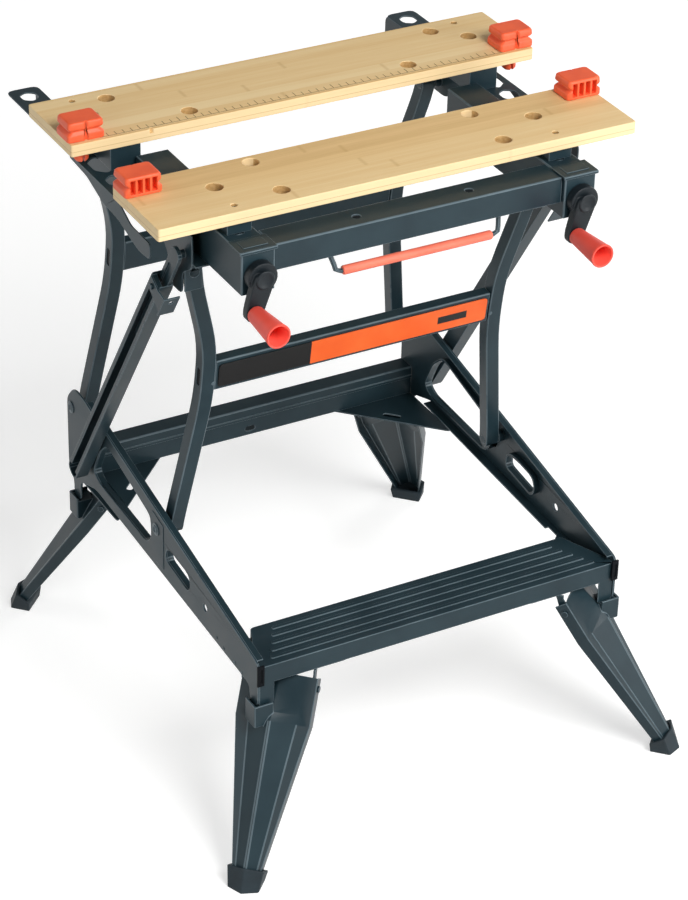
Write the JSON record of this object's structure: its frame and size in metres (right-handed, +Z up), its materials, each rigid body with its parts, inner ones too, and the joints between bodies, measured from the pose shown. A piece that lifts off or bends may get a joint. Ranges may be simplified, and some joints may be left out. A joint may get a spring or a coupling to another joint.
{
  "type": "folding workbench",
  "caption": "Folding workbench with two bamboo vise jaws on crank-driven screws, swivel grips, parallel leg frames, a step beam and fold-in splayed feet.",
  "frame": {"origin": "on the floor under the middle of the bench", "axes": "+X to the user's right, +Y away from the user towards the rear jaw, +Z up"},
  "size_m": [0.6248, 0.6848, 0.7932],
  "materials": {
    "powder_coated_steel": "slate grey powder coat, satin",
    "bamboo": "laminated bamboo board, clear sealed",
    "orange_plastic": "moulded grip plastic",
    "coral_plastic": "moulded knob plastic",
    "black_plastic": "moulded, fine grain",
    "salmon_sleeve": "soft sleeve",
    "label_film": "printed film, plain colour blocks",
    "bright_steel": "zinc plated"
  },
  "bodies": {
    "base": {"base_beam_left": "powder_coated_steel", "base_beam_right": "powder_coated_steel", "step": "powder_coated_steel", "base_rear_bar": "powder_coated_steel", "front_leg_pin_left": "powder_coated_steel", "front_leg_pin_right": "powder_coated_steel", "rear_leg_pin_left": "powder_coated_steel", "rear_leg_pin_right": "powder_coated_steel", "corner_gusset_front_left": "powder_coated_steel", "corner_gusset_front_right": "powder_coated_steel", "corner_gusset_rear_left": "powder_coated_steel", "corner_gusset_rear_right": "powder_coated_steel"},
    "front_frame": {"front_leg_left": "powder_coated_steel", "front_leg_right": "powder_coated_steel", "front_crossbar": "powder_coated_steel", "label_plate": "label_film"},
    "rear_frame": {"rear_leg_left": "powder_coated_steel", "rear_leg_right": "powder_coated_steel", "rear_crossbar": "powder_coated_steel"},
    "top_frame": {"side_rail_left": "powder_coated_steel", "side_rail_right": "powder_coated_steel", "vise_channel_left": "powder_coated_steel", "vise_channel_right": "powder_coated_steel", "rear_jaw_bracket_left": "powder_coated_steel", "rear_jaw_bracket_right": "powder_coated_steel", "front_beam": "powder_coated_steel", "rear_jaw": "bamboo"},
    "jaw_slide": {"front_jaw": "bamboo", "jaw_carriage_left": "powder_coated_steel", "jaw_carriage_right": "powder_coated_steel"},
    "release_bar": {"release_wire": "powder_coated_steel", "release_sleeve": "salmon_sleeve"},
    "strut_left": {"strut_left": "powder_coated_steel"},
    "slider_left": {"strut_slider_left": "powder_coated_steel"},
    "latch_left": {"latch_lever_left": "powder_coated_steel"},
    "screw_left": {"lead_screw_left": "bright_steel", "crank_arm_left": "black_plastic"},
    "knob_left": {"crank_knob_left": "coral_plastic"},
    "strut_right": {"strut_right": "powder_coated_steel"},
    "slider_right": {"strut_slider_right": "powder_coated_steel"},
    "latch_right": {"latch_lever_right": "powder_coated_steel"},
    "screw_right": {"lead_screw_right": "bright_steel", "crank_arm_right": "black_plastic"},
    "knob_right": {"crank_knob_right": "coral_plastic"},
    "grip_front_left": {"swivel_grip_front_left": "orange_plastic"},
    "grip_front_right": {"swivel_grip_front_right": "orange_plastic"},
    "grip_rear_left": {"swivel_grip_rear_left": "orange_plastic"},
    "grip_rear_right": {"swivel_grip_rear_right": "orange_plastic"},
    "foot_front_left": {"folding_foot_front_left": "powder_coated_steel", "foot_cap_front_left": "black_plastic"},
    "foot_front_right": {"folding_foot_front_right": "powder_coated_steel", "foot_cap_front_right": "black_plastic"},
    "foot_rear_left": {"folding_foot_rear_left": "powder_coated_steel", "foot_cap_rear_left": "black_plastic"},
    "foot_rear_right": {"folding_foot_rear_right": "powder_coated_steel", "foot_cap_rear_right": "black_plastic"}
  },
  "joints": [
    {"name": "fold", "type": "hinge", "parent": "base", "child": "front_frame", "pos_m": [0, 0.011, 0.283], "axis": [1, 0, 0], "range_deg": [0, 80]},
    {"name": "rear_fold", "type": "hinge", "parent": "base", "child": "rear_frame", "pos_m": [0, 0.257, 0.321], "axis": [1, 0, 0], "range_deg": [0, 80]},
    {"name": "top_level", "type": "hinge", "parent": "front_frame", "child": "top_frame", "pos_m": [0, -0.04407, 0.65596], "axis": [1, 0, 0], "range_deg": [-80, 0]},
    {"name": "strut_turn_left", "type": "hinge", "parent": "base", "child": "strut_left", "pos_m": [-0.248, 0.209, 0.263], "axis": [1, 0, 0], "range_deg": [0, 50.83]},
    {"name": "strut_reach_left", "type": "slide", "parent": "strut_left", "child": "slider_left", "axis": [0, -0.5394, 0.842], "range_m": [0, 0.08998]},
    {"name": "latch_press_left", "type": "hinge", "parent": "strut_left", "child": "latch_left", "pos_m": [-0.266, -0.03363, 0.64175], "axis": [1, 0, 0], "range_deg": [-20, 25]},
    {"name": "crank_left", "type": "hinge", "parent": "top_frame", "child": "screw_left", "pos_m": [-0.2055, -0.17507, 0.71226], "axis": [0, 1, 0], "range_deg": [-864, 7776]},
    {"name": "knob_spin_left", "type": "hinge", "parent": "screw_left", "child": "knob_left", "pos_m": [-0.21786, -0.20507, 0.67421], "axis": [0, 1, 0], "continuous": true},
    {"name": "strut_turn_right", "type": "hinge", "parent": "base", "child": "strut_right", "pos_m": [0.248, 0.209, 0.263], "axis": [1, 0, 0], "range_deg": [0, 50.83]},
    {"name": "strut_reach_right", "type": "slide", "parent": "strut_right", "child": "slider_right", "axis": [0, -0.5394, 0.842], "range_m": [0, 0.08998]},
    {"name": "latch_press_right", "type": "hinge", "parent": "strut_right", "child": "latch_right", "pos_m": [0.266, -0.03363, 0.64175], "axis": [1, 0, 0], "range_deg": [-20, 25]},
    {"name": "crank_right", "type": "hinge", "parent": "top_frame", "child": "screw_right", "pos_m": [0.2055, -0.17507, 0.71226], "axis": [0, 1, 0], "range_deg": [-864, 7776]},
    {"name": "knob_spin_right", "type": "hinge", "parent": "screw_right", "child": "knob_right", "pos_m": [0.19314, -0.20507, 0.67421], "axis": [0, 1, 0], "continuous": true},
    {"name": "jaw_travel", "type": "slide", "parent": "top_frame", "child": "jaw_slide", "axis": [0, 1, 0], "range_m": [-0.012, 0.108]},
    {"name": "release_pull", "type": "hinge", "parent": "top_frame", "child": "release_bar", "pos_m": [0, -0.15107, 0.72226], "axis": [1, 0, 0], "range_deg": [-20, 10]},
    {"name": "grip_turn_front_left", "type": "hinge", "parent": "jaw_slide", "child": "grip_front_left", "pos_m": [-0.284, -0.03807, 0.76886], "axis": [0, 0, 1], "continuous": true},
    {"name": "grip_turn_front_right", "type": "hinge", "parent": "jaw_slide", "child": "grip_front_right", "pos_m": [0.284, -0.03807, 0.76886], "axis": [0, 0, 1], "continuous": true},
    {"name": "grip_turn_rear_left", "type": "hinge", "parent": "top_frame", "child": "grip_rear_left", "pos_m": [-0.284, 0.11293, 0.76886], "axis": [0, 0, 1], "continuous": true},
    {"name": "grip_turn_rear_right", "type": "hinge", "parent": "top_frame", "child": "grip_rear_right", "pos_m": [0.284, 0.11293, 0.76886], "axis": [0, 0, 1], "continuous": true},
    {"name": "foot_fold_front_left", "type": "hinge", "parent": "base", "child": "foot_front_left", "pos_m": [-0.2, -0.23, 0.2], "axis": [0.7071, -0.7071, 0], "range_deg": [0, 120]},
    {"name": "foot_fold_front_right", "type": "hinge", "parent": "base", "child": "foot_front_right", "pos_m": [0.2, -0.23, 0.2], "axis": [0.7071, 0.7071, 0], "range_deg": [0, 120]},
    {"name": "foot_fold_rear_left", "type": "hinge", "parent": "base", "child": "foot_rear_left", "pos_m": [-0.2, 0.23, 0.2], "axis": [-0.7071, -0.7071, 0], "range_deg": [0, 120]},
    {"name": "foot_fold_rear_right", "type": "hinge", "parent": "base", "child": "foot_rear_right", "pos_m": [0.2, 0.23, 0.2], "axis": [-0.7071, 0.7071, 0], "range_deg": [0, 120]}
  ],
  "couplings": [
    {"joint": "rear_fold", "follows": "fold", "ratio": 1},
    {"joint": "top_level", "follows": "fold", "ratio": -1},
    {"joint": "strut_turn_left", "follows": "fold", "ratio": 0.63522},
    {"joint": "strut_reach_left", "follows": "fold", "m_per_rad": 0.064434},
    {"joint": "strut_turn_right", "follows": "fold", "ratio": 0.63522},
    {"joint": "strut_reach_right", "follows": "fold", "m_per_rad": 0.064434},
    {"joint": "crank_left", "follows": "jaw_travel", "rad_per_m": 1256.6},
    {"joint": "crank_right", "follows": "jaw_travel", "rad_per_m": 1256.6}
  ]
}
